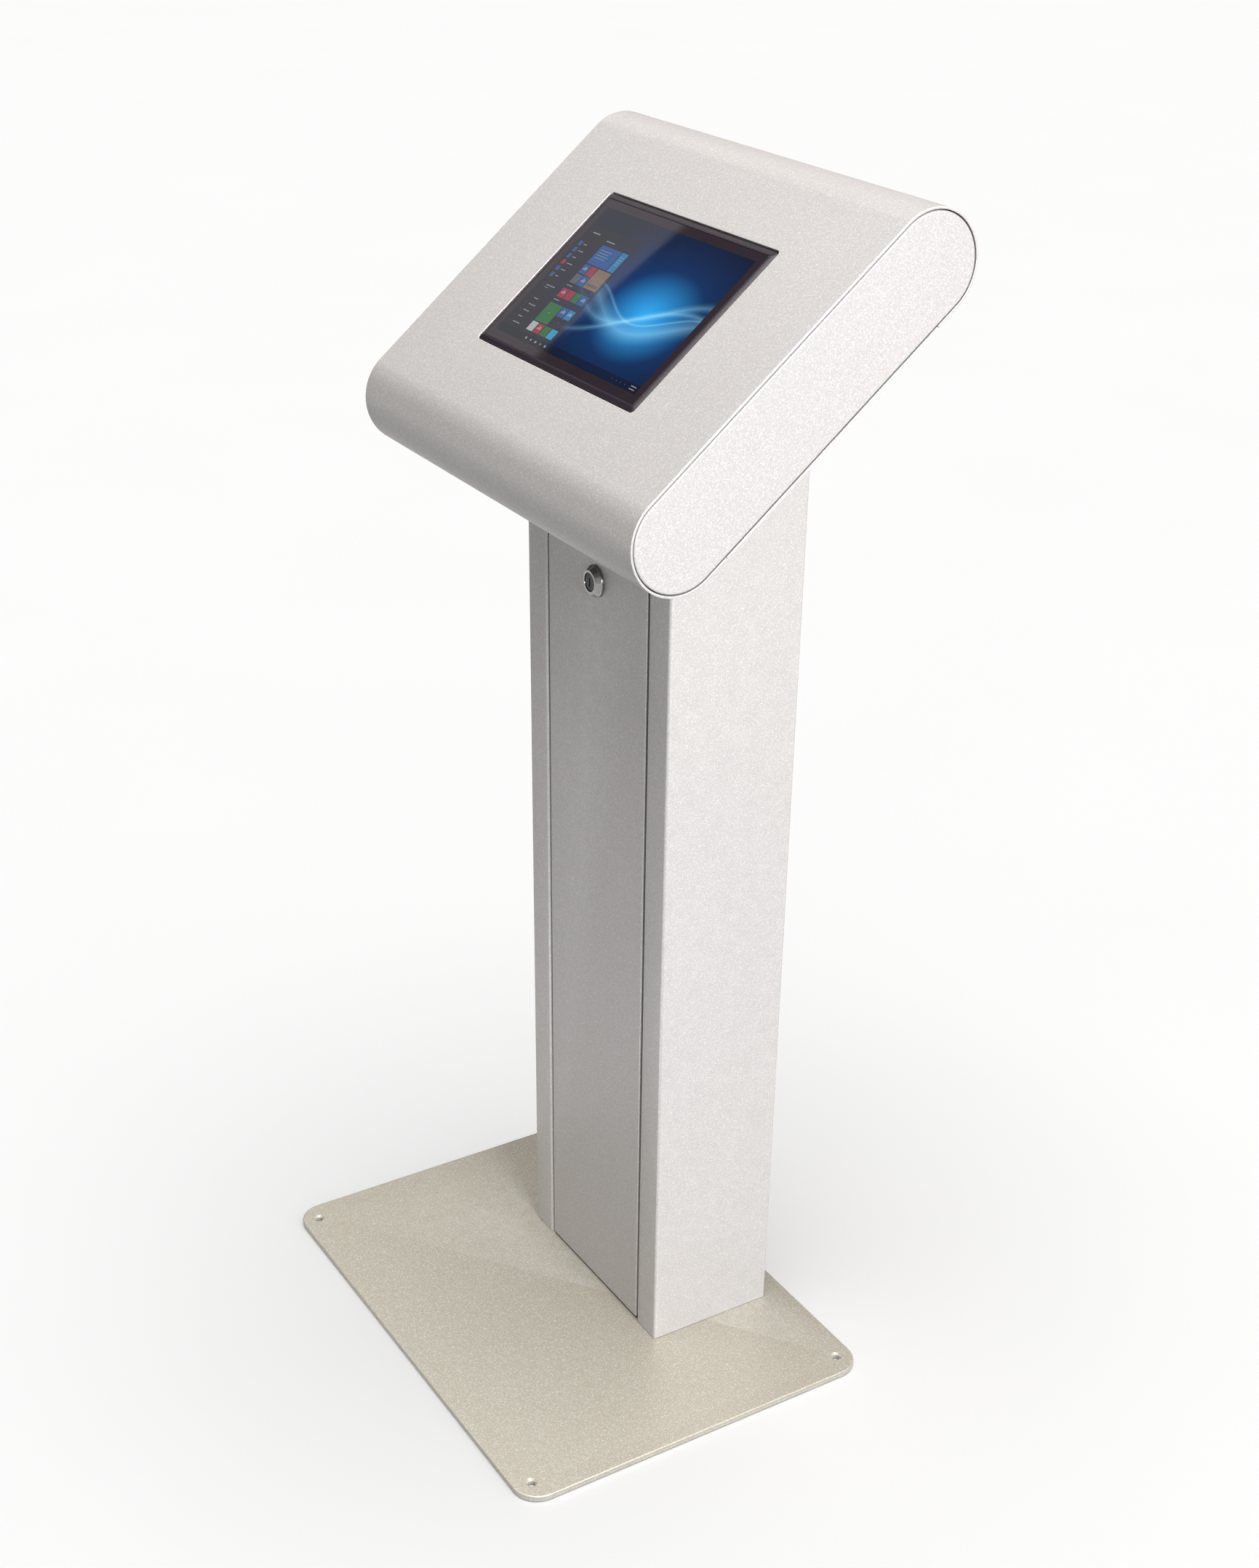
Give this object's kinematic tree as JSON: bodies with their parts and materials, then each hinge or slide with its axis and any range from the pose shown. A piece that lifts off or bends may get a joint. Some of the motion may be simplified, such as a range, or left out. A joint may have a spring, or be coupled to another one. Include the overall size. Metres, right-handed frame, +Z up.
{
  "type": "touchscreen kiosk",
  "caption": "Free-standing touchscreen kiosk: a flat floor plate, a sheet-metal column with a lockable drop-down service door, and a sloping rolled head with a panel computer.",
  "frame": {"origin": "centre of the floor plate's underside, on the floor", "axes": "+X to the user's right, +Y from the user towards the kiosk's back, +Z up"},
  "size_m": [0.5, 0.4114, 1.063],
  "materials": {
    "powder_coat": "silver-white metallic powder coat, satin",
    "plate_coat": "silver-beige metallic powder coat, satin",
    "zinc": "zinc-plated steel",
    "chrome": "polished",
    "black_metal": "black coated metal",
    "bezel": "anodised charcoal, satin",
    "glass": "touch glass, glossy",
    "display": "lit liquid-crystal panel",
    "black_plastic": "moulded, fine texture",
    "rubber": "matt",
    "circuit": "printed circuit board"
  },
  "bodies": {
    "kiosk": {"head_wrap": "powder_coat", "head_bottom_panel": "powder_coat", "end_cap_left": "powder_coat", "end_cap_right": "powder_coat", "column_shell": "powder_coat", "column_header": "powder_coat", "base_plate": "plate_coat", "column_foot": "zinc", "column_top_plate": "zinc", "foot_bolt_1": "zinc", "foot_bolt_2": "zinc", "foot_bolt_3": "zinc", "foot_bolt_4": "zinc", "panel_strip_front": "zinc", "panel_strip_rear": "zinc", "head_mount_plate": "zinc", "head_bolt_1": "zinc", "head_bolt_2": "zinc", "head_bolt_3": "zinc", "head_bolt_4": "zinc", "panel_screw_1": "zinc", "panel_screw_2": "zinc", "panel_screw_3": "zinc", "panel_screw_4": "zinc", "cap_screw_1": "zinc", "cap_screw_2": "zinc", "cap_screw_3": "zinc", "cap_screw_4": "zinc", "screen_frame": "zinc", "pc_clamp_left": "zinc", "pc_clamp_right": "zinc", "power_supply_strap": "zinc", "pc_housing": "black_metal", "screen_bezel": "bezel", "touch_glass": "glass", "display_panel": "display", "power_inlet": "black_plastic", "power_supply": "black_plastic", "dc_plug": "black_plastic", "cable_clip_lower": "black_plastic", "cable_clip_upper": "black_plastic", "door_buffer_left": "rubber", "door_buffer_right": "rubber", "cable_grommet": "rubber", "screen_gasket": "rubber", "mains_lead": "rubber", "dc_cable": "rubber", "mainboard": "circuit"},
    "service_door": {"door_panel": "powder_coat", "door_stiffener": "zinc", "door_pivot_screw_left": "zinc", "door_pivot_screw_right": "zinc", "lock_body": "chrome", "lock_nut": "zinc"},
    "lock_barrel": {"lock_plug": "black_metal", "lock_cam": "zinc", "cam_screw": "zinc"},
    "mains_rocker": {"mains_switch": "black_plastic"},
    "pc_button": {"pc_power_button": "black_plastic"}
  },
  "joints": [
    {"name": "service_door_tilt", "type": "hinge", "parent": "kiosk", "child": "service_door", "pos_m": [0, 0.0364, 0.014], "axis": [1, 0, 0], "range_deg": [0, 90]},
    {"name": "lock_turn", "type": "hinge", "parent": "service_door", "child": "lock_barrel", "pos_m": [0, 0.0305, 0.739], "axis": [0, 1, 0], "range_deg": [0, 90]},
    {"name": "mains_switch_rock", "type": "hinge", "parent": "kiosk", "child": "mains_rocker", "pos_m": [0.074, 0.16, 0.07], "axis": [1, 0, 0], "range_deg": [-16, 0]},
    {"name": "pc_button_press", "type": "slide", "parent": "kiosk", "child": "pc_button", "axis": [0, -0.6293, 0.7771], "range_m": [0, 0.0015], "stiffness_N_per_m": 300}
  ]
}
